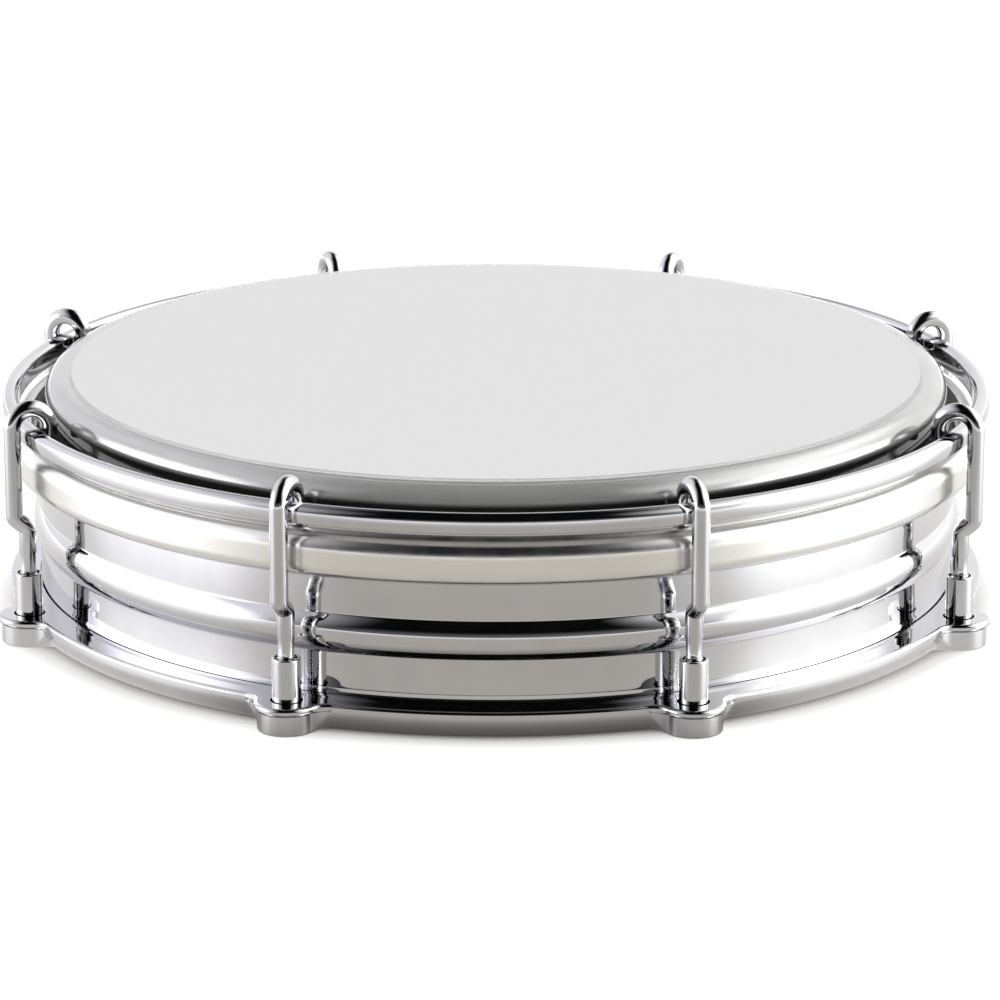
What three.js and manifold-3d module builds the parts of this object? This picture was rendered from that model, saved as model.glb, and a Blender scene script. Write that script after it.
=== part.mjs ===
// Tamborim: a small frame drum with one plastic skin. Eight hooks pull a steel hoop, and with it the
// skin's own hoop, down towards a ring under the shell, and a sleeve nut below each hook sets the pull.
// Millimetres, +Z up. The origin is the middle of the plane that the bottom ring stands on.
import * as THREE from "three";
import { mergeVertices } from "three/addons/utils/BufferGeometryUtils.js";
import Module from "manifold-3d";

// Roundness: faces in a full turn of the big rings, of a rod and of a nut
const ringFaces = 48;
const rodFaces = 8;
const nutFaces = 12;
const cornerSteps = 2;

// Lugs
const lugCount = 8;
const firstLugDeg = 22.5;

// Shell: rolled steel, drawn in to a neck, with the top edge curled inwards
const shellRadius = 76.2;
const shellWall = 1.2;
const shellHeight = 36.15;
const neckStep = 1.85;
const neckHeight = 10.05;
const shoulderDrop = 1.85;
const edgeRadius = 2.9;
const edgeCurlDeg = 160;
const edgeSteps = 6;
const beadHeight = 12.55;
const beadWidth = 6.1;
const beadRise = 1.0;
const beadSteps = 6;

// Skin: its disc, its collar over the shell's edge and its flared rim inside the flesh hoop
const skinThickness = 0.25;
const skinGap = 0.3;
const skinRimGap = 0.4;
const skinRimRise = 3.9;

// Flesh hoop
const fleshSlideGap = 0.85;
const fleshWidth = 3.95;
const fleshHeight = 7.6;
const fleshBelowCrest = 6.15;
const fleshTopRound = 2.3;
const fleshFootRound = 1.9;
const fleshBoreRound = 0.5;

// Counter hoop
const hoopSeatGap = 0.3;
const hoopWidth = 2.6;
const hoopHeight = 3.9;
const hoopOverhang = 0.9;
const hoopBoreRound = 0.35;
const hoopEdgeRound = 0.9;
const hoopFootRound = 1.8;

// Hooks
const rodDiameter = 2.8;
const hookGap = 0.35;
const hookBendDrop = 0.4;
const hookTipRise = 1.1;
const hookTipRound = 0.5;
const bendSteps = 6;
const crankBelowFlesh = 3.1;
const crankDrop = 2.7;
const crankSteps = 4;
const threadBelowCrank = 3.5;
const threadDiameter = 2.5;
const threadRunOut = 0.3;
const threadEndRound = 0.4;
const threadEndRise = 2.3;

// Bottom ring and its ears
const seatGap = 0.3;
const ringSeatGap = 0.3;
const ringHeight = 4.6;
const ringBodyWidth = 4.8;
const ringEdgeRound = 0.65;
const ringFootRound = 3.4;
const footSteps = 4;
const ringLipReach = 2.0;
const ringLipHeight = 1.6;
const lugStandOff = 5.35;
const earRadius = 5.1;
const earRootRound = 3.0;
const earRootInset = 1.5;
const earFootMargin = 0.5;
const earPlate = 1.6;

// Sleeve nuts
const nutDiameter = 4.5;
const nutRise = 6.9;
const nutTopChamfer = 0.4;
const nutHoleGap = 0.3;
const nutHeadDiameter = 6.4;
const nutHeadHeight = 2.35;
const nutHeadGap = 0.3;
const nutPocketGap = 0.3;
const threadGap = 0.3;
const nutFloor = 0.85;
const keySocketWidth = 3.0;
const keySocketDepth = 2.0;

// Levels and radii that follow from them
const shellBottom = ringLipHeight + seatGap;
const crestZ = shellBottom + shellHeight;
const neckRadius = shellRadius - neckStep;
const neckFootZ = crestZ - neckHeight;
const shoulderZ = neckFootZ - shoulderDrop;
const edgeMiddleRadius = neckRadius - edgeRadius;
const edgeMiddleZ = crestZ - edgeRadius;
const fleshBore = shellRadius + fleshSlideGap;
const fleshOuter = fleshBore + fleshWidth;
const fleshTop = crestZ - fleshBelowCrest;
const fleshBottom = fleshTop - fleshHeight;
const hoopOuter = fleshOuter + hoopOverhang;
const hoopInner = hoopOuter - hoopWidth;
const hoopBottom = fleshTop + hoopSeatGap;
const hoopTop = hoopBottom + hoopHeight;
const rodRadius = rodDiameter / 2;
const hookLegRadius = hoopOuter + hookGap + rodRadius;
const hookTipRadius = hoopInner - hookGap - rodRadius;
const lugRadius = shellRadius + lugStandOff;
const ringSeatRadius = shellRadius + ringSeatGap;
const ringOuter = ringSeatRadius + ringBodyWidth;
const earUnderside = ringHeight - earPlate;
const nutTop = ringHeight + nutRise;
const nutHeadTop = earUnderside - nutHeadGap;
const nutHeadBottom = nutHeadTop - nutHeadHeight;
const nutBoreFloor = nutHeadBottom + keySocketDepth + nutFloor;

const wasm = await Module();
wasm.setup();

const chrome = { color: 0xd6d6d8, roughness: 0.08, metalness: 1.0 };
const aluminium = { color: 0xc9c8c4, roughness: 0.22, metalness: 1.0 };
const whiteFilm = { color: 0xe4e4e4, roughness: 0.35, metalness: 0.0 };

const drum = new THREE.Group();
const lugs = Array.from({ length: lugCount }, (_, index) => {
  const lug = new THREE.Group();
  lug.rotation.z = THREE.MathUtils.degToRad(firstLugDeg + (360 * index) / lugCount);
  drum.add(lug);
  return lug;
});

function addPiece(parent, name, geometry, finish) {
  const mesh = new THREE.Mesh(geometry, new THREE.MeshStandardMaterial(finish));
  mesh.name = name;
  parent.add(mesh);
}

// A closed mesh as a solid that can be joined and cut
function toSolid(geometry) {
  const bare = geometry.clone();
  bare.deleteAttribute("normal");
  bare.deleteAttribute("uv");
  const merged = mergeVertices(bare, 1e-4);
  const vertProperties = merged.attributes.position.array;
  return new wasm.Manifold(new wasm.Mesh({ numProp: 3, vertProperties, triVerts: merged.index.array }));
}

function toGeometry(solid) {
  const mesh = solid.getMesh();
  const geometry = new THREE.BufferGeometry();
  geometry.setAttribute("position", new THREE.BufferAttribute(mesh.vertProperties, 3));
  geometry.setIndex(new THREE.BufferAttribute(mesh.triVerts, 1));
  geometry.computeVertexNormals();
  return geometry;
}

// A solid of revolution about Z. The outline holds (radius, height) points, anticlockwise.
function turned(outline, faces) {
  const geometry = new THREE.LatheGeometry(outline, faces);
  return geometry.rotateX(Math.PI / 2);
}

function closed(outline) {
  return [...outline, outline[0].clone()];
}

// Points of an arc about (radius, height), from one angle to another in degrees
function arc(radius, height, size, fromDeg, toDeg, steps) {
  return Array.from({ length: steps + 1 }, (_, step) => {
    const angle = THREE.MathUtils.degToRad(THREE.MathUtils.lerp(fromDeg, toDeg, step / steps));
    return new THREE.Vector2(radius + size * Math.cos(angle), height + size * Math.sin(angle));
  });
}

// A hoop's section: a rectangle with its bore, foot and top corners rounded
function hoopSection(inner, outer, bottom, top, boreRound, footRound, topRound) {
  return closed([
    ...arc(inner + boreRound, bottom + boreRound, boreRound, 180, 270, cornerSteps),
    ...arc(outer - footRound, bottom + footRound, footRound, 270, 360, cornerSteps),
    ...arc(outer - topRound, top - topRound, topRound, 0, 90, cornerSteps),
    ...arc(inner + boreRound, top - boreRound, boreRound, 90, 180, cornerSteps),
  ]);
}

// One face of the shell's sheet from the bottom edge to the top edge's curl, set in from the outside.
// The bead is the arc of a circle through its two ends and its crest.
function shellFace(setIn) {
  const beadZ = shellBottom + beadHeight;
  const beadArc = (beadWidth ** 2 / 4 + beadRise ** 2) / (2 * beadRise);
  const mitre = setIn * Math.tan(Math.atan2(neckStep, shoulderDrop) / 2);
  const points = [new THREE.Vector2(shellRadius - setIn, shellBottom)];
  for (let step = 0; step <= beadSteps; step += 1) {
    const up = beadWidth * (step / beadSteps - 0.5);
    const rise = Math.sqrt(beadArc ** 2 - up ** 2) - beadArc + beadRise;
    points.push(new THREE.Vector2(shellRadius + rise - setIn, beadZ + up));
  }
  points.push(new THREE.Vector2(shellRadius - setIn, shoulderZ - mitre));
  points.push(new THREE.Vector2(neckRadius - setIn, neckFootZ - mitre));
  points.push(...arc(edgeMiddleRadius, edgeMiddleZ, edgeRadius - setIn, 0, edgeCurlDeg, edgeSteps));
  return points;
}

function shell() {
  return turned(closed([...shellFace(0), ...shellFace(shellWall).reverse()]), ringFaces);
}

// The skin follows the shell's edge at a gap, then flares out to its rim inside the flesh hoop
function headFilm() {
  const rimRadius = fleshBore - skinRimGap;
  const rimZ = fleshBottom + skinRimRise;
  const collarRadius = neckRadius + skinGap + skinThickness;
  const flare = rimRadius - collarRadius;
  const mitre = skinThickness * Math.tan(Math.PI / 8);
  const outerRound = edgeRadius + skinGap + skinThickness;
  const innerRound = edgeRadius + skinGap;
  const collarSteps = Math.ceil(edgeSteps / 2);
  return turned(
    [
      new THREE.Vector2(0, edgeMiddleZ + innerRound),
      ...arc(edgeMiddleRadius, edgeMiddleZ, innerRound, 90, 0, collarSteps),
      new THREE.Vector2(collarRadius - skinThickness, rimZ + flare - mitre),
      new THREE.Vector2(rimRadius - skinThickness, rimZ - mitre),
      new THREE.Vector2(rimRadius, rimZ),
      new THREE.Vector2(collarRadius, rimZ + flare),
      ...arc(edgeMiddleRadius, edgeMiddleZ, outerRound, 0, 90, collarSteps),
      new THREE.Vector2(0, edgeMiddleZ + outerRound),
    ],
    ringFaces,
  );
}

function fleshHoop() {
  const section = [fleshBore, fleshOuter, fleshBottom, fleshTop];
  return turned(hoopSection(...section, fleshBoreRound, fleshFootRound, fleshTopRound), ringFaces);
}

function counterHoop() {
  const section = [hoopInner, hoopOuter, hoopBottom, hoopTop];
  return turned(hoopSection(...section, hoopBoreRound, hoopFootRound, hoopEdgeRound), ringFaces);
}

// A round rod through stations in the XZ plane, each with its own radius and a ring square to the path
function sweptRod(stations) {
  const points = stations.map(([x, z]) => new THREE.Vector2(x, z));
  const positions = [];
  const index = [];
  stations.forEach(([x, z, radius], at) => {
    const before = points[Math.max(at - 1, 0)];
    const after = points[Math.min(at + 1, points.length - 1)];
    const along = after.clone().sub(before).normalize();
    for (let face = 0; face < rodFaces; face += 1) {
      const turn = (2 * Math.PI * face) / rodFaces;
      const side = radius * Math.cos(turn);
      positions.push(x + along.y * side, radius * Math.sin(turn), z - along.x * side);
    }
  });
  const corner = (at, face) => at * rodFaces + (face % rodFaces);
  for (let at = 0; at + 1 < stations.length; at += 1) {
    for (let face = 0; face < rodFaces; face += 1) {
      index.push(corner(at, face), corner(at, face + 1), corner(at + 1, face + 1));
      index.push(corner(at, face), corner(at + 1, face + 1), corner(at + 1, face));
    }
  }
  const last = stations.length - 1;
  for (let face = 1; face + 1 < rodFaces; face += 1) {
    index.push(corner(0, 0), corner(0, face + 1), corner(0, face));
    index.push(corner(last, 0), corner(last, face), corner(last, face + 1));
  }
  const geometry = new THREE.BufferGeometry();
  geometry.setAttribute("position", new THREE.Float32BufferAttribute(positions, 3));
  geometry.setIndex(index);
  return geometry;
}

// A hook from its tip inside the hoop, over it, down the leg, in at the crank and down the thread
function hook() {
  const bendZ = hoopTop - hookBendDrop;
  const bendMiddle = (hookTipRadius + hookLegRadius) / 2;
  const bendRadius = (hookLegRadius - hookTipRadius) / 2;
  const tipZ = hoopBottom + hookTipRise;
  const crankTop = fleshBottom - crankBelowFlesh;
  const threadTop = crankTop - crankDrop - threadBelowCrank;
  const threadEnd = nutBoreFloor + threadEndRise;
  const threadRadius = threadDiameter / 2;
  const stations = [
    [hookTipRadius, tipZ, rodRadius - hookTipRound],
    [hookTipRadius, tipZ + hookTipRound, rodRadius],
  ];
  arc(bendMiddle, bendZ, bendRadius, 180, 0, bendSteps).forEach((point) => {
    stations.push([point.x, point.y, rodRadius]);
  });
  for (let step = 0; step <= crankSteps; step += 1) {
    const along = step / crankSteps;
    const ease = (1 - Math.cos(Math.PI * along)) / 2;
    const radius = THREE.MathUtils.lerp(hookLegRadius, lugRadius, ease);
    stations.push([radius, crankTop - crankDrop * along, rodRadius]);
  }
  stations.push(
    [lugRadius, threadTop, rodRadius],
    [lugRadius, threadTop - threadRunOut, threadRadius],
    [lugRadius, threadEnd + threadEndRound, threadRadius],
    [lugRadius, threadEnd, threadRadius - threadEndRound],
  );
  return sweptRod(stations);
}

// A sleeve nut: its head under the ear, its barrel up through the ear, a blind bore and a key socket
function tuningNut() {
  const bore = threadDiameter / 2 + threadGap;
  const barrel = nutDiameter / 2;
  const head = nutHeadDiameter / 2;
  const body = turned(
    [
      new THREE.Vector2(0, nutHeadBottom),
      new THREE.Vector2(head, nutHeadBottom),
      new THREE.Vector2(head, nutHeadTop),
      new THREE.Vector2(barrel, nutHeadTop),
      new THREE.Vector2(barrel, nutTop - nutTopChamfer),
      new THREE.Vector2(barrel - nutTopChamfer, nutTop),
      new THREE.Vector2(bore, nutTop),
      new THREE.Vector2(bore, nutBoreFloor),
      new THREE.Vector2(0, nutBoreFloor),
    ],
    nutFaces,
  );
  const socketCorner = keySocketWidth / 2 / Math.cos(Math.PI / 6);
  const socket = new THREE.CylinderGeometry(socketCorner, socketCorner, 2 * keySocketDepth, 6);
  socket.rotateX(Math.PI / 2).translate(0, 0, nutHeadBottom);
  return toGeometry(toSolid(body).subtract(toSolid(socket))).translate(lugRadius, 0, 0);
}

// An ear's plan: round about the lug's axis, with hollow rounds that run out along the ring's edge
function earPlan() {
  const rootReach = earRadius + earRootRound;
  const rootX = ((ringOuter + earRootRound) ** 2 - rootReach ** 2 - lugRadius ** 2) / (2 * lugRadius);
  const rootY = Math.sqrt(rootReach ** 2 - rootX ** 2);
  const earAngle = Math.atan2(rootY, rootX);
  const ringAngle = Math.atan2(rootY, rootX + lugRadius);
  const edgeX = ringOuter * Math.cos(ringAngle) - lugRadius;
  const edgeY = ringOuter * Math.sin(ringAngle);
  const deepX = ringSeatRadius + earRootInset - lugRadius;
  const plan = new THREE.Shape();
  plan.moveTo(deepX, -edgeY);
  plan.lineTo(edgeX, -edgeY);
  plan.absarc(rootX, -rootY, earRootRound, Math.PI - ringAngle, Math.PI - earAngle, true);
  plan.absarc(0, 0, earRadius, -earAngle, earAngle, false);
  plan.absarc(rootX, rootY, earRootRound, earAngle - Math.PI, ringAngle - Math.PI, true);
  plan.lineTo(deepX, edgeY);
  return plan;
}

// A round bar at a lug, between two heights
function lugBar(diameter, bottom, top) {
  const bar = new THREE.CylinderGeometry(diameter / 2, diameter / 2, top - bottom, nutFaces);
  return bar.rotateX(Math.PI / 2).translate(lugRadius, 0, (top + bottom) / 2);
}

// What the rounded foot of the ring leaves out: all below an arc of its section, apart from the ears
function ringFootCut() {
  const reach = lugRadius + 2 * earRadius;
  const middleRadius = ringOuter - ringFootRound;
  const outline = [
    new THREE.Vector2(middleRadius, -ringHeight),
    new THREE.Vector2(reach, -ringHeight),
    new THREE.Vector2(reach, ringFootRound),
    ...arc(middleRadius, ringFootRound, ringFootRound, 360, 270, footSteps),
  ];
  const kept = lugBar(2 * (earRadius + earFootMargin), -2 * ringHeight, 2 * ringHeight);
  let cut = toSolid(turned(closed(outline), ringFaces));
  lugs.forEach((lug) => {
    cut = cut.subtract(toSolid(kept.clone().rotateZ(lug.rotation.z)));
  });
  return cut;
}

// The ring: a lip under the shell, a body around it and an ear at each lug, bored and pocketed
function bottomRing() {
  const lipRadius = shellRadius - ringLipReach;
  const body = turned(
    closed([
      new THREE.Vector2(lipRadius, 0),
      new THREE.Vector2(ringOuter, 0),
      ...arc(ringOuter - ringEdgeRound, ringHeight - ringEdgeRound, ringEdgeRound, 0, 90, cornerSteps),
      new THREE.Vector2(ringSeatRadius, ringHeight),
      new THREE.Vector2(ringSeatRadius, ringLipHeight),
      new THREE.Vector2(lipRadius, ringLipHeight),
    ]),
    ringFaces,
  );
  const ear = new THREE.ExtrudeGeometry(earPlan(), {
    depth: ringHeight,
    curveSegments: cornerSteps + 1,
    bevelThickness: ringEdgeRound,
    bevelSize: ringEdgeRound,
    bevelOffset: -ringEdgeRound,
    bevelSegments: cornerSteps,
  });
  ear.translate(lugRadius, 0, -ringEdgeRound);
  const pocket = lugBar(nutHeadDiameter + 2 * nutPocketGap, -ringHeight, earUnderside);
  const hole = lugBar(nutDiameter + 2 * nutHoleGap, -ringHeight, 2 * ringHeight);
  const floorSize = 3 * (lugRadius + earRadius);
  const floor = new THREE.BoxGeometry(floorSize, floorSize, 2 * ringHeight).translate(0, 0, -ringHeight);
  let ring = toSolid(body);
  lugs.forEach((lug) => {
    ring = ring.add(toSolid(ear.clone().rotateZ(lug.rotation.z)));
  });
  ring = ring.subtract(ringFootCut());
  lugs.forEach((lug) => {
    ring = ring.subtract(toSolid(pocket.clone().rotateZ(lug.rotation.z)));
    ring = ring.subtract(toSolid(hole.clone().rotateZ(lug.rotation.z)));
  });
  return toGeometry(ring.subtract(toSolid(floor)));
}

addPiece(drum, "shell", shell(), chrome);
addPiece(drum, "bottom_ring", bottomRing(), chrome);
addPiece(drum, "head_film", headFilm(), whiteFilm);
addPiece(drum, "flesh_hoop", fleshHoop(), aluminium);
addPiece(drum, "counter_hoop", counterHoop(), chrome);
lugs.forEach((lug, index) => {
  addPiece(lug, `hook_${index + 1}`, hook(), chrome);
  addPiece(lug, `tuning_nut_${index + 1}`, tuningNut(), chrome);
});

export default drum;
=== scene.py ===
import math

import bmesh
import bpy
import numpy as np
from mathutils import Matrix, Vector
from mathutils.geometry import delaunay_2d_cdt


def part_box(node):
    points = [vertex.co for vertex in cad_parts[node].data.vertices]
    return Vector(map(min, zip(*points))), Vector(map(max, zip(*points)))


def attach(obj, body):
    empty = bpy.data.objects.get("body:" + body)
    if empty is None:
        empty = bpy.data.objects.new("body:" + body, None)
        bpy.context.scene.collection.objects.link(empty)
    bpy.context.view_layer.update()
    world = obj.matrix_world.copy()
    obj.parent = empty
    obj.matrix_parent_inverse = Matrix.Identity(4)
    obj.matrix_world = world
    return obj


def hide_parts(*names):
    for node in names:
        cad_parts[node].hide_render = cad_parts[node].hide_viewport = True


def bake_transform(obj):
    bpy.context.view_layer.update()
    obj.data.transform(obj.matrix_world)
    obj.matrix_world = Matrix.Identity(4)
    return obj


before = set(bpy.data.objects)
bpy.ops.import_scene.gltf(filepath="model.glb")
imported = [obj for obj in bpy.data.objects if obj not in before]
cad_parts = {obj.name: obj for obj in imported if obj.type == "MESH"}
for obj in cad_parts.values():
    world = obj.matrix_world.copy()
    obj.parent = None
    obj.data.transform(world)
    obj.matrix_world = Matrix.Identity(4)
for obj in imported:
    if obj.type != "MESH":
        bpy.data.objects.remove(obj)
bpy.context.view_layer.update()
mm = 0.001
aroundSteps = 320  # points in a full turn of the big rings

lugs = {"count": 8, "firstDeg": 22.5}
lugTurns = np.radians(lugs["firstDeg"] + 360 / lugs["count"] * np.arange(lugs["count"]))


# Surfaces: a surface is an array of points and a list of faces

def arcPoints(centre, radius, fromDeg, toDeg, steps):
    # points at equal angles on a circle about the centre, both ends kept
    angle = np.radians(np.linspace(fromDeg, toDeg, steps + 1))
    return np.stack([centre[0] + radius * np.cos(angle), centre[1] + radius * np.sin(angle)], -1)


def lineNormals(points):
    # unit vectors square to a line of points, to the right of its run
    run = np.gradient(points, axis=0)
    run /= np.linalg.norm(run, axis=1, keepdims=True)
    return np.stack([run[:, 1], -run[:, 0]], -1)


def gridSurface(points, closeU, closeV):
    # a quad between each four neighbours of a (u, v) grid, wrapped round where asked
    index = np.arange(points.shape[0] * points.shape[1]).reshape(points.shape[:2])
    if closeU:
        index = np.vstack([index, index[:1]])
    if closeV:
        index = np.hstack([index, index[:, :1]])
    quads = np.stack([index[:-1, :-1], index[1:, :-1], index[1:, 1:], index[:-1, 1:]], -1)
    return points.reshape(-1, 3), quads.reshape(-1, 4).tolist()


def turnedSurface(profile, steps=aroundSteps, closed=True):
    # (radius, height) points carried round Z: x = r cos a, y = r sin a, z = h
    angle = np.arange(steps) * 2 * np.pi / steps
    radius, height = profile[:, :1], profile[:, 1:]
    points = np.stack([radius * np.cos(angle), radius * np.sin(angle), height + 0 * angle], -1)
    return gridSurface(points, closed, True)


def flatSurface(outlines, height):
    # triangles on a level plane; those kept have a middle from which a level ray crosses the outlines an odd
    # number of times, so outlines inside the first one are holes
    points = np.concatenate(outlines)
    following = np.concatenate([np.roll(outline, -1, 0) for outline in outlines])
    counts = [len(outline) for outline in outlines]
    nextAt = np.concatenate([np.roll(np.arange(count), -1) for count in counts])
    starts = np.repeat(np.cumsum([0] + counts[:-1]), counts)
    edges = np.stack([np.arange(len(points)), starts + nextAt], -1).tolist()
    made = delaunay_2d_cdt([Vector(point) for point in points.tolist()], edges, [], 1, 1e-9)
    flat = np.array([(point.x, point.y, height) for point in made[0]])
    faces = np.array([list(face) for face in made[2]])
    middle = flat[faces].mean(1)
    spans = (points[:, 1] > middle[:, 1:2]) != (following[:, 1] > middle[:, 1:2])
    rise = np.where(spans, following[:, 1] - points[:, 1], 1)
    share = (middle[:, 1:2] - points[:, 1]) / rise
    right = points[:, 0] + share * (following[:, 0] - points[:, 0]) > middle[:, :1]
    kept = (spans & right).sum(1) % 2 == 1
    return flat, faces[kept].tolist()


def turnAbout(points, angle):
    # the points turned about Z by the angle
    c, s = math.cos(angle), math.sin(angle)
    return points @ np.array([[c, s, 0], [-s, c, 0], [0, 0, 1]])


def makePiece(name, surfaces, material, nodes, sharpDeg=35):
    # one closed mesh from its surfaces: doubles merged, faces turned outwards, smooth up to the sharp angle
    first, points, faces = 0, [], []
    for surfacePoints, surfaceFaces in surfaces:
        points.append(surfacePoints)
        faces += [[first + corner for corner in face] for face in surfaceFaces]
        first += len(surfacePoints)
    mesh = bpy.data.meshes.new(name)
    mesh.from_pydata(np.concatenate(points).tolist(), [], faces)
    work = bmesh.new()
    work.from_mesh(mesh)
    bmesh.ops.remove_doubles(work, verts=work.verts, dist=2e-7)
    bmesh.ops.dissolve_degenerate(work, edges=work.edges, dist=1e-8)
    bmesh.ops.recalc_face_normals(work, faces=work.faces)
    if work.calc_volume(signed=True) < 0:
        bmesh.ops.reverse_faces(work, faces=work.faces)
    openEdges = sum(not edge.is_manifold for edge in work.edges)
    work.to_mesh(mesh)
    work.free()
    mesh.shade_smooth()
    mesh.set_sharp_from_angle(angle=math.radians(sharpDeg))
    piece = bpy.data.objects.new(name, mesh)
    bpy.context.scene.collection.objects.link(piece)
    mesh.materials.append(material)
    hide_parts(*nodes)
    if openEdges:
        print("open edges on", name, openEdges)
    return piece


# Materials

def linearColour(code):
    # an sRGB hex colour as linear light
    share = np.array([int(code[at:at + 2], 16) for at in (0, 2, 4)]) / 255
    light = np.where(share <= 0.04045, share / 12.92, ((share + 0.055) / 1.055) ** 2.4)
    return (*light.tolist(), 1.0)


def addNode(tree, kind, inputs=None, **settings):
    # a node with its settings, its values and its links
    node = tree.nodes.new(kind)
    for name, value in settings.items():
        setattr(node, name, value)
    for socket, value in (inputs or {}).items():
        if isinstance(value, bpy.types.NodeSocket):
            tree.links.new(value, node.inputs[socket])
        else:
            node.inputs[socket].default_value = value
    return node


def ramp(tree, value, start, end, low, high):
    # a smooth step of a value between two limits
    limits = {"Value": value, "From Min": start, "From Max": end, "To Min": low, "To Max": high}
    return addNode(tree, "ShaderNodeMapRange", limits, interpolation_type="SMOOTHSTEP").outputs["Result"]


def calc(tree, operation, first, second=0.0):
    return addNode(tree, "ShaderNodeMath", {0: first, 1: second}, operation=operation).outputs["Value"]


def blendColours(tree, share, first, second):
    mix = addNode(tree, "ShaderNodeMix", {"Factor": share}, data_type="RGBA")
    mix.inputs["A"].default_value = linearColour(first)
    mix.inputs["B"].default_value = linearColour(second)
    return mix.outputs["Result"]


def noise(tree, sizeMm, detail):
    # noise in the piece's own space, with features of about the given size
    place = addNode(tree, "ShaderNodeTexCoord").outputs["Object"]
    settings = {"Vector": place, "Scale": 1 / (sizeMm * mm), "Detail": detail}
    return addNode(tree, "ShaderNodeTexNoise", settings).outputs["Fac"]


def newMaterial(name):
    material = bpy.data.materials.new(name)
    material.use_nodes = True
    tree = material.node_tree
    return material, tree, tree.nodes["Principled BSDF"]


chromeLook = {
    "light": "d0d0d2",
    "dark": "c6c6c9",
    "waveMm": 17,
    "waveHeightMm": 0.006,
    "waveDetail": 1.0,
    "smearMm": 5,
    "smearDetail": 4.0,
    "smearFrom": 0.3,
    "smearFull": 0.7,
    "roughness": (0.03, 0.075),
}
aluminiumLook = {**chromeLook, "light": "f0efec", "dark": "e6e5e1", "roughness": (0.2, 0.27)}


def polishedMetal(name, look=chromeLook):
    # chrome plate or bright aluminium: a mirror that is a little wavy, with faint polishing smears
    material, tree, shader = newMaterial(name)
    smear = noise(tree, look["smearMm"], look["smearDetail"])
    wave = noise(tree, look["waveMm"], look["waveDetail"])
    relief = {"Height": wave, "Strength": 1.0, "Distance": look["waveHeightMm"] * mm}
    bump = addNode(tree, "ShaderNodeBump", relief)
    shader.inputs["Metallic"].default_value = 1.0
    tree.links.new(blendColours(tree, smear, look["light"], look["dark"]), shader.inputs["Base Color"])
    smeared = ramp(tree, smear, look["smearFrom"], look["smearFull"], *look["roughness"])
    tree.links.new(smeared, shader.inputs["Roughness"])
    tree.links.new(bump.outputs["Normal"], shader.inputs["Normal"])
    return material


coatLook = {"colour": "dddddd", "roughness": 0.6, "gloss": 0.1,
            "gritMm": 0.5, "gritHeightMm": 0.03, "gritDetail": 2.0, "gritStrength": 0.3}


def coatedPolyester(name):
    # white sprayed coating on plastic film: a flat white with a fine grit and a low sheen
    material, tree, shader = newMaterial(name)
    grit = noise(tree, coatLook["gritMm"], coatLook["gritDetail"])
    relief = {"Height": grit, "Strength": coatLook["gritStrength"], "Distance": coatLook["gritHeightMm"] * mm}
    bump = addNode(tree, "ShaderNodeBump", relief)
    shader.inputs["Base Color"].default_value = linearColour(coatLook["colour"])
    shader.inputs["Roughness"].default_value = coatLook["roughness"]
    shader.inputs["Specular IOR Level"].default_value = coatLook["gloss"]
    tree.links.new(bump.outputs["Normal"], shader.inputs["Normal"])
    return material


# below a level the film's foot takes a dark tint: painted shade for the shadowed gap behind it
filmLook = {"colour": "fdfdfb", "footShade": "4c4b49", "footShadeFull": 35.0, "footShadeEnd": 36.0,  # levels in mm
            "roughness": 0.03, "clearness": 0.79, "ior": 1.58}


def clearPolyester(name):
    # clear plastic film at the collar: glossy and clear with a little haze, so the steel edge under it shows,
    # and dark at the foot, a painted shade for the shadowed gap between the shell's neck and the flesh hoop
    # behind it
    material, tree, shader = newMaterial(name)
    place = addNode(tree, "ShaderNodeTexCoord").outputs["Object"]
    height = addNode(tree, "ShaderNodeSeparateXYZ", {"Vector": place}).outputs["Z"]
    # painted shade: the film darkens below this level, standing for the shadowed gap behind its foot
    unshaded = ramp(tree, height, filmLook["footShadeFull"] * mm, filmLook["footShadeEnd"] * mm, 0, 1)
    tint = blendColours(tree, unshaded, filmLook["footShade"], filmLook["colour"])
    tree.links.new(tint, shader.inputs["Base Color"])
    shader.inputs["Roughness"].default_value = filmLook["roughness"]
    shader.inputs["IOR"].default_value = filmLook["ior"]
    shader.inputs["Transmission Weight"].default_value = filmLook["clearness"]
    return material


# Shell: rolled sheet with one bead, drawn in to a neck whose edge curls inwards
shell = {
    "wall": 1.2, "beadRise": 1.0, "beadWidth": 6.1, "beadHeight": 12.55, "beadReach": 0.6,
    "beadCorner": 0.08, "neckStep": 1.85, "neckHeight": 10.05, "shoulderDrop": 1.85, "edgeRadius": 2.9,
    "curlDeg": 160, "flare": 0.09, "flareLow": 5.0, "flareHigh": 5.62, "flareBend": 0.06,
}


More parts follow.
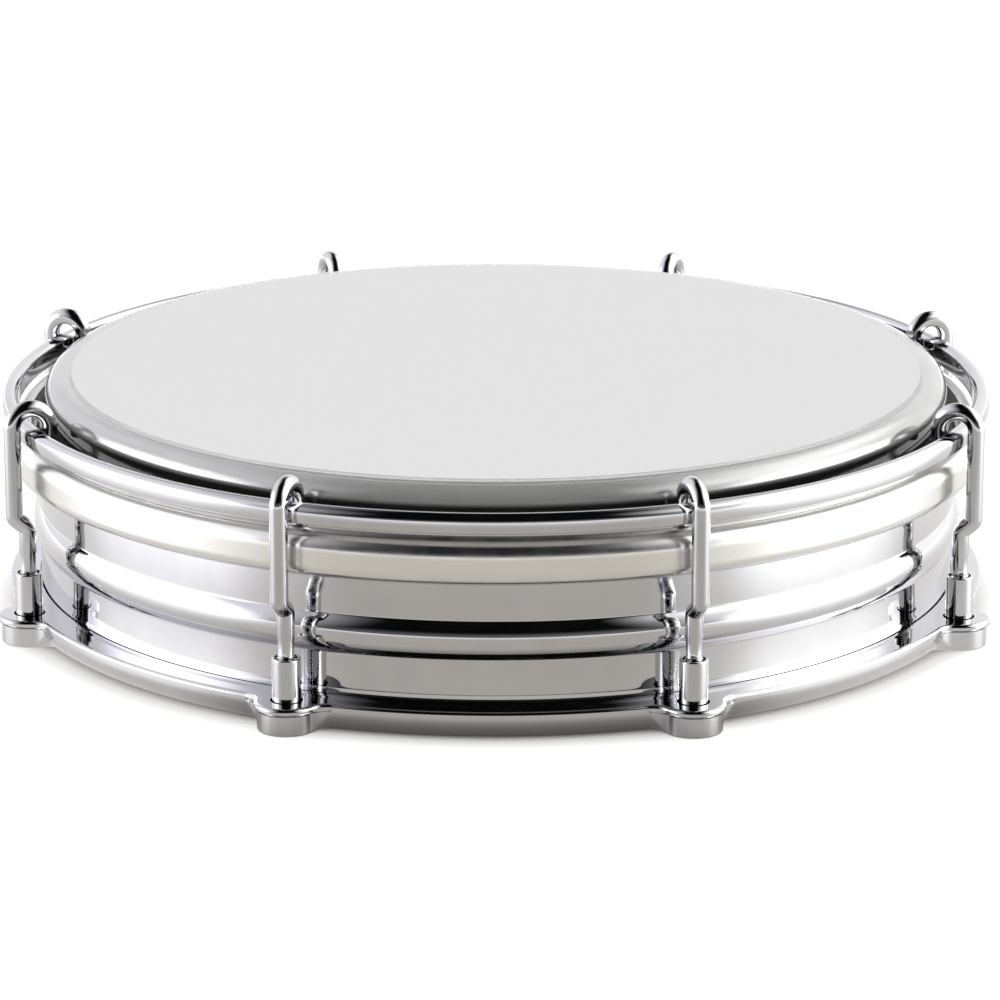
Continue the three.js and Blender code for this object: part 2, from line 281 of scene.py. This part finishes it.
def makeShell():
    # profile: a foot a little flared, a straight wall, a bead that is the arc of a circle with soft corners,
    # half a cosine wave in to the neck, an arc over the top
    low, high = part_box("shell")
    bottom, crest = low.z / mm, high.z / mm
    radius = high.x / mm - shell["beadRise"]
    neck = radius - shell["neckStep"]
    neckFoot = crest - shell["neckHeight"]
    half = shell["wall"] / 2
    rise = shell["beadRise"]
    beadArc = (shell["beadWidth"] ** 2 / 4 + rise ** 2) / (2 * rise)
    up = np.linspace(-shell["beadReach"], shell["beadReach"], 73) * shell["beadWidth"]
    swell = np.sqrt(beadArc ** 2 - up ** 2) - beadArc + rise
    swell = (swell + np.sqrt(swell ** 2 + shell["beadCorner"] ** 2)) / 2
    bead = np.stack([radius + swell, bottom + shell["beadHeight"] + up], -1)
    ease = np.linspace(0, 1, 17)
    shoulder = np.stack([radius - shell["neckStep"] * (1 - np.cos(np.pi * ease)) / 2,
                         neckFoot - shell["shoulderDrop"] * (1 - ease)], -1)
    edgeMiddle = (neck - shell["edgeRadius"], crest - shell["edgeRadius"])
    curl = arcPoints(edgeMiddle, shell["edgeRadius"], 0, shell["curlDeg"], 40)
    flare, bend = shell["flare"], shell["flareBend"]
    wallFoot = [(radius + flare, bottom + half), (radius + flare, shell["flareLow"]),
                (radius + flare * (1 - bend), shell["flareLow"] + bend),
                (radius + flare * bend, shell["flareHigh"] - bend), (radius, shell["flareHigh"])]
    outside = np.concatenate([wallFoot, bead, shoulder, curl])
    inside = outside - shell["wall"] * lineNormals(outside)
    foot = arcPoints((radius + flare - half, bottom + half), half, 180, 360, 12)[1:-1]
    profile = np.concatenate([foot, outside, inside[::-1]])
    material = polishedMetal("chrome_on_rolled_steel")
    piece = makePiece("shell_visual", [turnedSurface(profile * mm)], material, ["shell"])
    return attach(piece, "shell")


def shellEdgeRadius():
    # radius of the middle of the shell's rounded edge
    low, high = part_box("shell")
    return high.x / mm - shell["beadRise"] - shell["neckStep"] - shell["edgeRadius"]


# Skin: a white disc and a clear collar of one film, pulled over the shell's edge
skin = {"thickness": 0.25, "edgeRadius": 3.45, "coatRadius": 70.5, "flareDrop": 2.8}


def makeSkin():
    # profile: level disc, quarter circle over the edge, straight collar, half a cosine wave out to the rim
    low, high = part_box("head_film")
    rim, foot, top = high.x / mm, low.z / mm, high.z / mm
    edgeMiddle = (shellEdgeRadius(), top - skin["edgeRadius"])
    collar = edgeMiddle[0] + skin["edgeRadius"]
    ease = np.linspace(0, 1, 17)
    radii = np.linspace(0, skin["coatRadius"], 41)
    disc = np.stack([radii, np.full_like(radii, top)], -1)
    edge = arcPoints(edgeMiddle, skin["edgeRadius"], 90, 0, 40)
    flare = np.stack([collar + (rim - collar) * (1 - np.cos(np.pi * ease)) / 2,
                      foot + skin["flareDrop"] * (1 - ease)], -1)
    outside = np.concatenate([disc, edge, flare])
    inside = outside + skin["thickness"] * lineNormals(outside)
    inside[0, 0] = 0
    coated = len(disc)
    discProfile = np.concatenate([outside[:coated], inside[:coated][::-1]])
    collarProfile = np.concatenate([outside[coated - 1:], inside[coated - 1:][::-1]])
    white = makePiece("skin_disc", [turnedSurface(discProfile * mm, closed=False)],
                      coatedPolyester("white_coated_polyester"), ["head_film"])
    clear = makePiece("skin_collar", [turnedSurface(collarProfile * mm)],
                      clearPolyester("clear_polyester"), ["head_film"])
    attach(white, "shell")
    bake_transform(clear)


# Hoops: the skin's aluminium hoop and the steel hoop on top of it
hoops = {
    "flesh_hoop": {"width": 3.95, "bore": 0.5, "boreTop": 0.5, "foot": 1.9, "top": 3.2,
                   "crownDeg": 0.1, "undercut": (0, 0)},  # its face is as good as straight
    "counter_hoop": {"width": 2.6, "bore": 0.35, "boreTop": 1.2, "foot": 0.3, "top": 1.3,
                     "crownDeg": 8, "undercut": (2.2, 0.8)},
}


def makeHoop(node, material):
    # profile: a rectangle whose corners are arcs of circles and whose outer face is a flat arc, crowned by an
    # angle at each end, undercut at the foot outside where asked
    size = hoops[node]
    low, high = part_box(node)
    outer, bottom, top = high.x / mm, low.z / mm, high.z / mm
    inner = outer - size["width"]
    across, rise = size["undercut"]
    crown = math.radians(size["crownDeg"])
    faceLow = bottom + rise + size["foot"] * (1 - math.sin(crown))
    faceHigh = top - size["top"] * (1 - math.sin(crown))
    crownArc = (faceHigh - faceLow) / 2 / math.sin(crown)
    edge = outer - crownArc * (1 - math.cos(crown))
    step = [(outer - across, bottom), (outer - across, bottom + rise)] if rise else np.zeros((0, 2))
    profile = np.concatenate([
        arcPoints((inner + size["bore"], bottom + size["bore"]), size["bore"], 180, 270, 14),
        step,
        arcPoints((edge - size["foot"] * math.cos(crown), bottom + rise + size["foot"]), size["foot"],
                  270, 360 - size["crownDeg"], 14),
        arcPoints((outer - crownArc, (faceLow + faceHigh) / 2), crownArc,
                  -size["crownDeg"], size["crownDeg"], 8)[1:-1],
        arcPoints((edge - size["top"] * math.cos(crown), top - size["top"]), size["top"],
                  size["crownDeg"], 90, 14),
        arcPoints((inner + size["boreTop"], top - size["boreTop"]), size["boreTop"], 90, 180, 14),
    ])
    piece = makePiece(node + "_visual", [turnedSurface(profile * mm)], material, [node])
    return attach(piece, "tension_hoop")


# Hooks: bent rod, turned down to a shank with a rolled thread on its lower end
hookRod = {
    "diameter": 2.8, "tipRound": 0.6, "tipRadius": 77.55, "tipLevel": 33.3, "bendLevel": 35.7,
    "legRadius": 83.65, "lugRadius": 81.55, "crankTop": 21.2, "crankDrop": 2.7, "shankTop": 15.0,
    "shankStep": 0.5, "shank": 2.5, "threadTop": 12.0, "threadEnd": 5.5, "runOut": 0.5, "endRound": 0.3,
    "pitch": 0.5, "core": 2.45, "crest": 2.95, "sides": 40,
}


def hookSurface():
    # a circle carried along the rod's line in the XZ plane; on the thread its radius follows a helix
    rod = hookRod
    half = rod["diameter"] / 2
    bend = (rod["legRadius"] - rod["tipRadius"]) / 2
    quarter = np.radians(np.linspace(0, 90, 9))
    ease = np.linspace(0, 1, 25)
    ringsPerTurn = 10
    threadRings = int((rod["threadTop"] - rod["threadEnd"]) / rod["pitch"] * ringsPerTurn)
    tipLevels = rod["tipLevel"] + rod["tipRound"] * (1 - np.cos(quarter))
    tip = np.stack([np.full_like(quarter, rod["tipRadius"]), tipLevels], -1)
    over = arcPoints((rod["tipRadius"] + bend, rod["bendLevel"]), bend, 180, 0, 40)
    stepIn = (rod["legRadius"] - rod["lugRadius"]) * (1 - np.cos(np.pi * ease)) / 2
    crank = np.stack([rod["legRadius"] - stepIn, rod["crankTop"] - rod["crankDrop"] * ease], -1)
    levels = np.concatenate([
        [rod["shankTop"], rod["shankTop"] - rod["shankStep"]],
        np.linspace(rod["threadTop"], rod["threadEnd"] + rod["endRound"], threadRings),
        [rod["threadEnd"]],
    ])
    stud = np.stack([np.full_like(levels, rod["lugRadius"]), levels], -1)
    line = np.concatenate([tip, over, crank, stud])
    aside = -lineNormals(line)
    turn = np.arange(rod["sides"]) * 2 * np.pi / rod["sides"]
    phase = levels[:, None] / rod["pitch"] - turn / (2 * np.pi)
    tooth = np.abs(2 * (phase - np.floor(phase)) - 1)
    threaded = (rod["core"] + (rod["crest"] - rod["core"]) * tooth) / 2
    cutIn = np.clip((rod["threadTop"] - levels) / rod["runOut"], 0, 1)[:, None]
    rings = np.full((len(line), rod["sides"]), half)
    rings[:len(quarter)] -= rod["tipRound"] * (1 - np.sin(quarter))[:, None]
    rings[-len(levels):] = threaded * cutIn + rod["shank"] / 2 * (1 - cutIn)
    rings[-len(levels)] = half
    rings[-1] = rod["core"] / 2 - rod["endRound"]
    points = np.stack([
        line[:, :1] + rings * np.cos(turn) * aside[:, :1],
        rings * np.sin(turn),
        line[:, 1:] + rings * np.cos(turn) * aside[:, 1:],
    ], -1)
    ends = [np.repeat(points[at].mean(0)[None], rod["sides"], 0)[None] for at in (0, -1)]
    return gridSurface(np.concatenate([ends[0], points, ends[1]]) * mm, False, True)


def makeHooks():
    material = polishedMetal("chrome_on_bent_rod")
    points, faces = hookSurface()
    for at, turn in enumerate(lugTurns):
        piece = makePiece(f"hook_{at + 1}_visual", [(turnAbout(points, turn), faces)], material,
                          [f"hook_{at + 1}"])
        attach(piece, "tension_hoop")


# Sleeve nuts: a barrel with a head under the ear and a six-sided socket for the key
sleeveNut = {
    "barrel": 4.5, "head": 6.4, "headHeight": 2.35, "chamfer": 0.25, "bore": 3.1, "boreFloor": 3.2,
    "mouth": 3.6, "mouthDepth": 1.0, "socketWidth": 3.0, "socketDepth": 2.0, "socketMouth": 4.0,
    "edge": 0.25, "sides": 96,
}


def nutSurface(bottom, top):
    # rings about the nut's axis, each a circle, apart from the socket's, which are hexagons
    nut = sleeveNut
    turn = np.arange(nut["sides"]) * 2 * np.pi / nut["sides"]
    circle = np.ones_like(turn)
    hexagon = 1 / np.cos(np.mod(turn, np.pi / 3) - np.pi / 6)
    socket, head, barrel, bore = nut["socketWidth"] / 2, nut["head"] / 2, nut["barrel"] / 2, nut["bore"] / 2
    edge, headTop = nut["edge"], bottom + nut["headHeight"]
    rows = [(0 * circle, bottom + nut["socketDepth"]), (socket * hexagon, bottom + nut["socketDepth"]),
            (socket * hexagon, bottom + edge), (nut["socketMouth"] / 2 * circle, bottom)]
    rows += [(head * circle - edge + r, z) for r, z in arcPoints((0, bottom + edge), edge, 270, 360, 6)]
    rows += [(head * circle - edge + r, z) for r, z in arcPoints((0, headTop - edge), edge, 0, 90, 6)]
    rows += [(barrel * circle, headTop), (barrel * circle, top - nut["chamfer"])]
    rows += [(barrel * circle - nut["chamfer"] + r, z)
             for r, z in arcPoints((0, top - nut["chamfer"]), nut["chamfer"], 10, 90, 8)]
    mouth, mouthFloor = nut["mouth"] / 2, top - nut["mouthDepth"]
    rows += [(mouth * circle, top), (mouth * circle, mouthFloor), (bore * circle, mouthFloor),
             (bore * circle, nut["boreFloor"]), (0 * circle, nut["boreFloor"])]
    points = np.stack([np.stack([r * np.cos(turn), r * np.sin(turn), z + 0 * turn], -1) for r, z in rows])
    return gridSurface(points * mm, False, True)


def makeNuts():
    material = polishedMetal("chrome_on_turned_steel")
    low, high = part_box("tuning_nut_1")
    points, faces = nutSurface(low.z / mm, high.z / mm)
    out = np.array([hookRod["lugRadius"] * mm, 0, 0])
    for at, turn in enumerate(lugTurns):
        piece = makePiece(f"tuning_nut_{at + 1}_visual", [(turnAbout(points + out, turn), faces)], material,
                          [f"tuning_nut_{at + 1}"])
        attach(piece, f"nut_{at + 1}")


# Bottom ring: a flanged ring with a round ear at each lug
ring = {
    "outer": 81.3, "seat": 76.5, "lip": 74.2, "lipHeight": 1.6, "topRound": 0.6, "footRound": 3.4,
    "earRadius": 5.1, "earRoot": 3.0, "earFoot": 0.3, "bossInset": 0.5, "grooveInset": 0.95,
    "grooveBottom": 3.2, "grooveTop": 3.65, "grooveEdge": 0.04, "hole": 5.1, "pocket": 7.0, "pocketTop": 3.0,
}


def earOutline():
    # one lug's share of the plan: ring circle, hollow round, ear circle and back again, with its normals and
    # a share that is 1 on the ring, 0 on the ear and eases between them along the hollow rounds
    root, lug = ring["earRoot"], hookRod["lugRadius"]
    ringReach, earReach = ring["outer"] + root, ring["earRadius"] + root
    rootX = (ringReach ** 2 - earReach ** 2 + lug ** 2) / (2 * lug)
    rootY = math.sqrt(ringReach ** 2 - rootX ** 2)
    ringDeg = math.degrees(math.atan2(rootY, rootX))
    earDeg = math.degrees(math.atan2(rootY, rootX - lug))
    stepDeg = 180 / lugs["count"]
    arcs = [
        ((0, 0), ring["outer"], -stepDeg, -ringDeg, 40, 1, 1, 1),
        ((rootX, -rootY), root, 180 - ringDeg, 180 - earDeg, 16, -1, 1, 0),
        ((lug, 0), ring["earRadius"], -earDeg, earDeg, 48, 1, 0, 0),
        ((rootX, rootY), root, 180 + earDeg, 180 + ringDeg, 16, -1, 0, 1),
        ((0, 0), ring["outer"], ringDeg, stepDeg, 40, 1, 1, 1),
    ]
    points, normals, shares = [], [], []
    for centre, radius, start, end, steps, out, shareStart, shareEnd in arcs:
        line = arcPoints(centre, radius, start, end, steps)[:-1]
        ease = (1 - np.cos(np.pi * np.arange(steps) / steps)) / 2
        points.append(line)
        normals.append(out * (line - np.array(centre)) / radius)
        shares.append(shareStart + (shareEnd - shareStart) * ease)
    return np.concatenate(points), np.concatenate(normals), np.concatenate(shares)


def makeRing():
    # walls: the plan's outline set in by its foot's and its top edge's rounding and, at the ears, by a boss
    # with a groove above it; flat faces fill what lies between outlines
    low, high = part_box("bottom_ring")
    top = high.z / mm
    plan, out, shares = earOutline()
    plan3, out3 = (np.pad(a, ((0, 0), (0, 1))) for a in (plan, out))
    outline = np.concatenate([turnAbout(plan3, turn) for turn in lugTurns])
    outward = np.concatenate([turnAbout(out3, turn) for turn in lugTurns])
    shares = np.tile(shares, lugs["count"])[:, None]
    feet = ring["earFoot"] + (ring["footRound"] - ring["earFoot"]) * shares
    boss = outline - ring["bossInset"] * (1 - shares) * outward
    foot = arcPoints((1, 1), 1, 270, 180, 16)
    crown = arcPoints((ring["topRound"], top - ring["topRound"]), ring["topRound"], 180, 90, 16)
    edge = ring["grooveEdge"]
    groove = [
        (ring["bossInset"], ring["grooveBottom"] - edge), (ring["grooveInset"], ring["grooveBottom"]),
        (ring["grooveInset"], ring["grooveTop"]), (0, ring["grooveTop"] + edge),
    ]
    up = np.array([0, 0, 1])
    rows = [boss + feet * (height * up - inset * outward) for inset, height in foot]
    for at, (inset, height) in enumerate(groove, 1):
        level = height + (ring["footRound"] + at * edge - height) * shares
        rows.append(outline - inset * (1 - shares) * outward + level * up)
    rows += [outline - inset * outward + height * up for inset, height in crown]
    walls = np.stack(rows)
    circle = np.arange(aroundSteps) * 2 * np.pi / aroundSteps
    circle = np.stack([np.cos(circle), np.sin(circle)], -1)
    boreCircle = circle[::5]
    bores = [hookRod["lugRadius"] * np.array([math.cos(turn), math.sin(turn)]) for turn in lugTurns]
    seat = np.array([(ring["seat"], top), (ring["seat"], ring["lipHeight"]), (ring["lip"], ring["lipHeight"]),
                     (ring["lip"], 0)])
    surfaces = [
        gridSurface(walls * mm, False, True),
        turnedSurface(seat * mm, closed=False),
        flatSurface([walls[-1, :, :2] * mm, circle * ring["seat"] * mm]
                    + [(bore + boreCircle * ring["hole"] / 2) * mm for bore in bores], top * mm),
        flatSurface([walls[0, :, :2] * mm, circle * ring["lip"] * mm]
                    + [(bore + boreCircle * ring["pocket"] / 2) * mm for bore in bores], 0.0),
    ]
    levels = [("pocket", 0), ("pocket", ring["pocketTop"]), ("hole", ring["pocketTop"]), ("hole", top)]
    for bore in bores:
        rows = [np.pad(bore + boreCircle * ring[size] / 2, ((0, 0), (0, 1)), constant_values=level)
                for size, level in levels]
        surfaces.append(gridSurface(np.stack(rows) * mm, False, True))
    material = polishedMetal("chrome_on_pressed_steel")
    piece = makePiece("bottom_ring_visual", surfaces, material, ["bottom_ring"])
    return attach(piece, "shell")


makeShell()
print("shell made")
makeSkin()
print("skin made")
makeHoop("flesh_hoop", polishedMetal("bright_aluminium", aluminiumLook))
makeHoop("counter_hoop", polishedMetal("chrome_on_flat_steel"))
print("hoops made")
makeHooks()
makeNuts()
print("hooks and nuts made")
makeRing()
print("ring made")


# Camera: stands as the photograph's did; lengths in mm, turns in degrees, focal length and shift in picture
# widths, and the clip limits in metres
photoCamera = {
    "aim": 14.85, "distance": 808.9, "elevation": 16.13, "azimuth": 0.71, "focal": 4.819, "shift": 0.004,
    "sensorMm": 36, "clip": (0.01, 50),
}


def makeCamera():
    data = bpy.data.cameras.new("camera")
    data.sensor_width = photoCamera["sensorMm"]
    data.lens = data.sensor_width * photoCamera["focal"]
    data.shift_x = photoCamera["shift"]
    data.clip_start, data.clip_end = photoCamera["clip"]
    camera = bpy.data.objects.new("camera", data)
    bpy.context.scene.collection.objects.link(camera)
    turn, rise = math.radians(photoCamera["azimuth"]), math.radians(photoCamera["elevation"])
    back = Vector((math.cos(rise) * math.sin(turn), -math.cos(rise) * math.cos(turn), math.sin(rise)))
    camera.location = Vector((0, 0, photoCamera["aim"] * mm)) + back * photoCamera["distance"] * mm
    camera.rotation_mode = "QUATERNION"
    camera.rotation_quaternion = (-back).to_track_quat("-Z", "Y")
    bpy.context.scene.camera = camera


# Studio: a pale floor in a white surround. Metal and clear film see it as a mirror in a studio does: tall
# lamps to the left and to the right, a white backdrop behind the drum, a glossy floor, and the dark end of
# the room in front. On the floor, lengths are in metres from the drum's axis and sides are shares of them;
# in the surround, limits are shares of a direction.
studio = {
    "floorSize": 8.0, "floorColour": "e6e5e2", "floorGlow": 0.5, "glowFrom": 0.078, "glowFull": 0.086,
    # in a mirror the floor carries painted shade: beige in front of the drum and a contact shadow at its foot
    "frontFloorShade": "cac6bf", "farFloor": "ffffff", "farFrom": 0.17, "farFull": 0.45,
    "contactShadow": 0.04, "contactShadowFrom": 0.074, "contactShadowFull": 0.094, "floorMatt": 0.9, "floorRoughness": 0.12,
    "floorIor": 1.5, "sideFrom": 0.45, "sideFull": 0.85, "sideWhite": 0.4,
    "footSideFrom": 0.3, "footSideFull": 0.66,
    "lampLift": 0.33, "lampBehind": 0.45, "lampFrom": 0.58, "lampFull": 1.05, "lamp": 1.5,
    "hotFrom": 0.8, "hotFull": 0.96, "hot": 3.2, "roomLow": 0.2, "roomHigh": 0.004, "roomRise": 0.3,
    "raisedFrom": 0.35, "raisedFull": 0.65, "raisedGain": 0.8,
    "backdrop": 1.25, "backFrom": 0.25, "backFull": 0.6, "backTopFrom": 0.35, "backTopFull": 0.75,
    "leftLamp": "e5e4ea", "rightLamp": "ffffff", "tintSpread": 0.5,
    "skyBehind": 0.6, "skyAside": 0.8, "skyFrom": -0.5, "skyFull": 0.7, "skyLow": 0.12, "skyHigh": 1.12,
}


def mirrorShare(tree):
    # 1 for a ray that came off a mirror or through clear film
    path = addNode(tree, "ShaderNodeLightPath").outputs
    return calc(tree, "MAXIMUM", path["Is Glossy Ray"], path["Is Transmission Ray"])


def floorMaterial():
    # pale floor, matt and white to the eye and clear from below, its glow left out close to the drum's foot
    # so that the shadow there is deeper; in a mirror it glows with painted shade, beige in front of the drum,
    # white far off and beside it, with a painted contact shadow at the drum's foot, and it is glossy enough
    # to carry the lamps
    material, tree, shader = newMaterial("pale_studio_floor")
    shader.inputs["Base Color"].default_value = linearColour(studio["floorColour"])
    shader.inputs["Roughness"].default_value = studio["floorMatt"]
    shader.inputs["Emission Color"].default_value = (1, 1, 1, 1)
    place = addNode(tree, "ShaderNodeTexCoord").outputs["Object"]
    reach = addNode(tree, "ShaderNodeVectorMath", {0: place}, operation="LENGTH").outputs["Value"]
    seen = addNode(tree, "ShaderNodeLightPath").outputs["Is Camera Ray"]
    # the glow is left out close to the drum's foot, which deepens the shadow there: painted shade
    glowing = ramp(tree, reach, studio["glowFrom"], studio["glowFull"], 0, studio["floorGlow"])
    tree.links.new(calc(tree, "MULTIPLY", seen, glowing), shader.inputs["Emission Strength"])
    across = calc(tree, "ABSOLUTE", addNode(tree, "ShaderNodeSeparateXYZ", {"Vector": place}).outputs["X"])
    slant = calc(tree, "DIVIDE", across, reach)
    side = ramp(tree, slant, studio["sideFrom"], studio["sideFull"], 0, 1)
    footSide = ramp(tree, slant, studio["footSideFrom"], studio["footSideFull"], 0, 1)
    far = ramp(tree, reach, studio["farFrom"], studio["farFull"], 0, 1)
    far = calc(tree, "MAXIMUM", far, calc(tree, "MULTIPLY", side, studio["sideWhite"]))
    # painted contact shadow: in a mirror the floor darkens towards the drum's foot, though not beside it
    foot = ramp(tree, reach, studio["contactShadowFrom"], studio["contactShadowFull"], studio["contactShadow"], 1)
    foot = calc(tree, "MAXIMUM", footSide, foot)
    # painted shade: in a mirror the floor is beige in front of the drum and white far off and beside it
    tint = blendColours(tree, far, studio["frontFloorShade"], studio["farFloor"])
    glow = addNode(tree, "ShaderNodeEmission", {"Color": tint, "Strength": foot})
    gloss = addNode(tree, "ShaderNodeBsdfGlossy", {"Roughness": studio["floorRoughness"]})
    share = addNode(tree, "ShaderNodeFresnel", {"IOR": studio["floorIor"]}).outputs[0]
    share = calc(tree, "MULTIPLY", share, foot)
    polish = addNode(tree, "ShaderNodeMixShader", {0: share, 2: gloss.outputs[0]})
    mirrored = addNode(tree, "ShaderNodeAddShader", {0: glow.outputs[0], 1: polish.outputs[0]})
    mix = addNode(tree, "ShaderNodeMixShader",
                  {0: mirrorShare(tree), 1: shader.outputs[0], 2: mirrored.outputs[0]})
    below = addNode(tree, "ShaderNodeNewGeometry").outputs["Backfacing"]
    clear = addNode(tree, "ShaderNodeBsdfTransparent")
    oneSided = addNode(tree, "ShaderNodeMixShader", {0: below, 1: mix.outputs[0], 2: clear.outputs[0]})
    tree.links.new(oneSided.outputs[0], tree.nodes["Material Output"].inputs["Surface"])
    return material


def studioWorld():
    # white to the eye; matt surfaces are lit from above, behind and both sides; for a mirror each lamp begins
    # at a sideways slant, sooner higher up and further back, and is brightest straight to the side, the right
    # one also high up, and the backdrop behind the drum is white up to a height
    world = bpy.data.worlds.new("studio")
    world.use_nodes = True
    tree = world.node_tree
    heading = addNode(tree, "ShaderNodeTexCoord").outputs["Generated"]
    along = addNode(tree, "ShaderNodeSeparateXYZ", {"Vector": heading}).outputs
    aside = calc(tree, "ABSOLUTE", along["X"])
    lift = calc(tree, "MULTIPLY", along["Z"], studio["lampLift"])
    behind = calc(tree, "MULTIPLY", calc(tree, "MAXIMUM", along["Y"]), studio["lampBehind"])
    slant = calc(tree, "ADD", aside, calc(tree, "ADD", lift, behind))
    right = ramp(tree, along["X"], -studio["tintSpread"], studio["tintSpread"], 0, 1)
    raised = ramp(tree, along["Z"], studio["raisedFrom"], studio["raisedFull"], 0, studio["raisedGain"])
    gain = calc(tree, "ADD", calc(tree, "MULTIPLY", raised, right), 1.0)
    lamp = ramp(tree, slant, studio["lampFrom"], studio["lampFull"], 0, studio["lamp"])
    lamp = calc(tree, "MULTIPLY", lamp, gain)
    hot = ramp(tree, aside, studio["hotFrom"], studio["hotFull"], 0, studio["hot"])
    room = ramp(tree, along["Z"], 0, studio["roomRise"], studio["roomLow"], studio["roomHigh"])
    backdrop = calc(tree, "MULTIPLY",
                    ramp(tree, along["Y"], studio["backFrom"], studio["backFull"], 0, studio["backdrop"]),
                    ramp(tree, along["Z"], studio["backTopFrom"], studio["backTopFull"], 1, 0))
    mirrored = calc(tree, "MAXIMUM", calc(tree, "MAXIMUM", room, backdrop), calc(tree, "ADD", lamp, hot))
    back = calc(tree, "MULTIPLY", along["Y"], studio["skyBehind"])
    flank = calc(tree, "MULTIPLY", aside, studio["skyAside"])
    outlook = calc(tree, "ADD", along["Z"], calc(tree, "ADD", back, flank))
    sky = ramp(tree, outlook, studio["skyFrom"], studio["skyFull"], studio["skyLow"], studio["skyHigh"])
    seen = addNode(tree, "ShaderNodeLightPath").outputs["Is Camera Ray"]
    matt = addNode(tree, "ShaderNodeMix", {"Factor": seen, "A": sky, "B": 1.0}).outputs["Result"]
    mirror = mirrorShare(tree)
    level = addNode(tree, "ShaderNodeMix", {"Factor": mirror, "A": matt, "B": mirrored})
    tint = addNode(tree, "ShaderNodeMix", {"Factor": mirror}, data_type="RGBA")
    tint.inputs["A"].default_value = (1, 1, 1, 1)
    tree.links.new(blendColours(tree, right, studio["leftLamp"], studio["rightLamp"]), tint.inputs["B"])
    background = tree.nodes["Background"]
    tree.links.new(tint.outputs["Result"], background.inputs["Color"])
    tree.links.new(level.outputs["Result"], background.inputs["Strength"])
    return world


def makeStudio():
    scene = bpy.context.scene
    scene.view_settings.view_transform = "Standard"
    half = studio["floorSize"] / 2
    corners = [(-half, -half, 0), (half, -half, 0), (half, half, 0), (-half, half, 0)]
    mesh = bpy.data.meshes.new("floor")
    mesh.from_pydata(corners, [], [(0, 1, 2, 3)])
    mesh.materials.append(floorMaterial())
    floor = bpy.data.objects.new("floor", mesh)
    scene.collection.objects.link(floor)
    scene.world = studioWorld()


makeCamera()
makeStudio()
print("camera and studio set")
